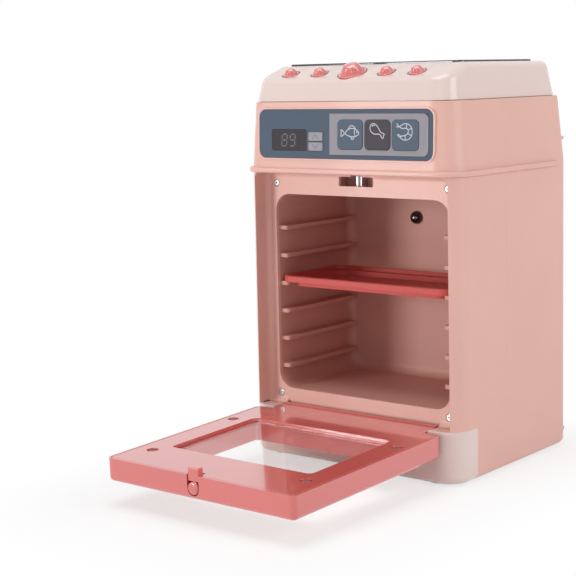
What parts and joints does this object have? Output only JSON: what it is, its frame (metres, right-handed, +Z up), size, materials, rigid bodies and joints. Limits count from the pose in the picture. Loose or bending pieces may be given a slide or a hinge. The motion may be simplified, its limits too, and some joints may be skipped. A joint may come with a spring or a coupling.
{
  "type": "toy oven",
  "caption": "Play oven with a drop-down windowed door, rack cavity and sliding baking tray, knobs on a sloped top, a keyed control panel and a hob plate",
  "frame": {"origin": "on the table, on the oven's middle plane, below the front face of the body; with the door open this is the middle of the footprint", "axes": "+X to the right seen from the front, +Y from the front to the back, +Z up"},
  "size_m": [0.1302, 0.2231, 0.2008],
  "materials": {
    "shell_pink": "satin moulded plastic, dusty pink",
    "cream": "glossy moulded plastic, pale cream pink",
    "coral": "glossy moulded plastic, coral",
    "hob_black": "high-gloss black plastic",
    "fascia_blue": "printed blue-grey panel",
    "surround_grey": "printed grey panel",
    "key_blue": "soft blue key",
    "key_grey": "soft dark grey key",
    "arrow_grey": "small grey button",
    "display_tint": "tinted clear plastic window",
    "display_black": "black display face",
    "pane_clear": "clear plastic pane",
    "steel": "bright steel",
    "lens_dark": "smoked dome lens",
    "pad_rubber": "thin pale rubber pad",
    "board_green": "circuit board",
    "part_black": "black moulded part",
    "cell_body": "plain printed cell sleeve"
  },
  "bodies": {
    "body": {"front_shell": "shell_pink", "rear_shell": "shell_pink", "base_skirt": "cream", "base_plate": "shell_pink", "feet": "pad_rubber", "base_screws": "steel", "shell_screws": "steel", "cavity_liner": "shell_pink", "liner_screws": "steel", "lamp_lens": "lens_dark", "lamp_board": "board_green", "hinge_pins": "steel", "latch_bracket": "shell_pink", "latch_strip": "steel", "control_fascia": "fascia_blue", "key_surround": "surround_grey", "display_window": "display_tint", "display_module": "display_black", "control_board": "board_green", "board_screws": "steel", "key_switches": "part_black", "top_housing": "cream", "top_screws": "steel", "hob_plate": "hob_black", "battery_box": "part_black", "battery_contacts": "steel", "battery_cells": "cell_body", "speaker": "part_black", "power_switch": "part_black"},
    "door": {"door_frame": "coral", "door_inner_plate": "coral", "window_pane": "pane_clear", "door_screws": "steel", "door_grip": "coral"},
    "latch": {"latch_button": "coral", "latch_hook": "coral"},
    "catch_pin": {"latch_pin": "steel"},
    "tray": {"oven_tray": "coral"},
    "left_key": {"key_left": "key_blue"},
    "middle_key": {"key_middle": "key_grey"},
    "right_key": {"key_right": "key_blue"},
    "up_arrow": {"up_button": "arrow_grey"},
    "down_arrow": {"down_button": "arrow_grey"},
    "cell_door": {"battery_cover": "shell_pink", "cover_screw": "steel"},
    "slider": {"power_slider": "part_black"},
    "dial_1": {"knob_1": "coral", "knob_clip_1": "steel"},
    "dial_2": {"knob_2": "coral", "knob_clip_2": "steel"},
    "dial_3": {"knob_3": "coral", "knob_clip_3": "steel"},
    "dial_4": {"knob_4": "coral", "knob_clip_4": "steel"},
    "dial_5": {"knob_5": "coral", "knob_clip_5": "steel"}
  },
  "joints": [
    {"name": "door_hinge", "type": "hinge", "parent": "body", "child": "door", "pos_m": [0, 0.0094, 0.0239], "axis": [-1, 0, 0], "range_deg": [0, 91.6]},
    {"name": "latch_press", "type": "slide", "parent": "door", "child": "latch", "axis": [0, 0.9996, 0.0279], "range_m": [0, 0.0008], "stiffness_N_per_m": 200, "springref_m": -0.002},
    {"name": "catch_pin_slide", "type": "slide", "parent": "body", "child": "catch_pin", "axis": [0, 1, 0], "range_m": [0, 0.001], "stiffness_N_per_m": 200, "springref_m": -0.002},
    {"name": "tray_slide", "type": "slide", "parent": "body", "child": "tray", "axis": [0, 1, 0], "range_m": [-0.048, 0]},
    {"name": "knob_1_turn", "type": "hinge", "parent": "body", "child": "dial_1", "pos_m": [-0.0404, 0.0116, 0.195], "axis": [0, -0.342, 0.9397], "continuous": true},
    {"name": "knob_2_turn", "type": "hinge", "parent": "body", "child": "dial_2", "pos_m": [-0.0222, 0.0116, 0.195], "axis": [0, -0.342, 0.9397], "continuous": true},
    {"name": "knob_3_turn", "type": "hinge", "parent": "body", "child": "dial_3", "pos_m": [-0.0022, 0.0116, 0.195], "axis": [0, -0.342, 0.9397], "continuous": true},
    {"name": "knob_4_turn", "type": "hinge", "parent": "body", "child": "dial_4", "pos_m": [0.018, 0.0116, 0.195], "axis": [0, -0.342, 0.9397], "continuous": true},
    {"name": "knob_5_turn", "type": "hinge", "parent": "body", "child": "dial_5", "pos_m": [0.0355, 0.0116, 0.195], "axis": [0, -0.342, 0.9397], "continuous": true},
    {"name": "left_key_press", "type": "slide", "parent": "body", "child": "left_key", "axis": [0, 0.9995, -0.0308], "range_m": [0, 0.0008], "stiffness_N_per_m": 200, "springref_m": -0.002},
    {"name": "middle_key_press", "type": "slide", "parent": "body", "child": "middle_key", "axis": [0, 0.9995, -0.0308], "range_m": [0, 0.0008], "stiffness_N_per_m": 200, "springref_m": -0.002},
    {"name": "right_key_press", "type": "slide", "parent": "body", "child": "right_key", "axis": [0, 0.9995, -0.0308], "range_m": [0, 0.0008], "stiffness_N_per_m": 200, "springref_m": -0.002},
    {"name": "up_press", "type": "slide", "parent": "body", "child": "up_arrow", "axis": [0, 0.9995, -0.0308], "range_m": [0, 0.0008], "stiffness_N_per_m": 200, "springref_m": -0.002},
    {"name": "down_press", "type": "slide", "parent": "body", "child": "down_arrow", "axis": [0, 0.9995, -0.0308], "range_m": [0, 0.0008], "stiffness_N_per_m": 200, "springref_m": -0.002},
    {"name": "battery_cover_lift", "type": "slide", "parent": "body", "child": "cell_door", "axis": [0, 1, 0], "range_m": [0, 0.02]},
    {"name": "power_slide", "type": "slide", "parent": "body", "child": "slider", "axis": [1, 0, 0], "range_m": [0, 0.004]}
  ]
}
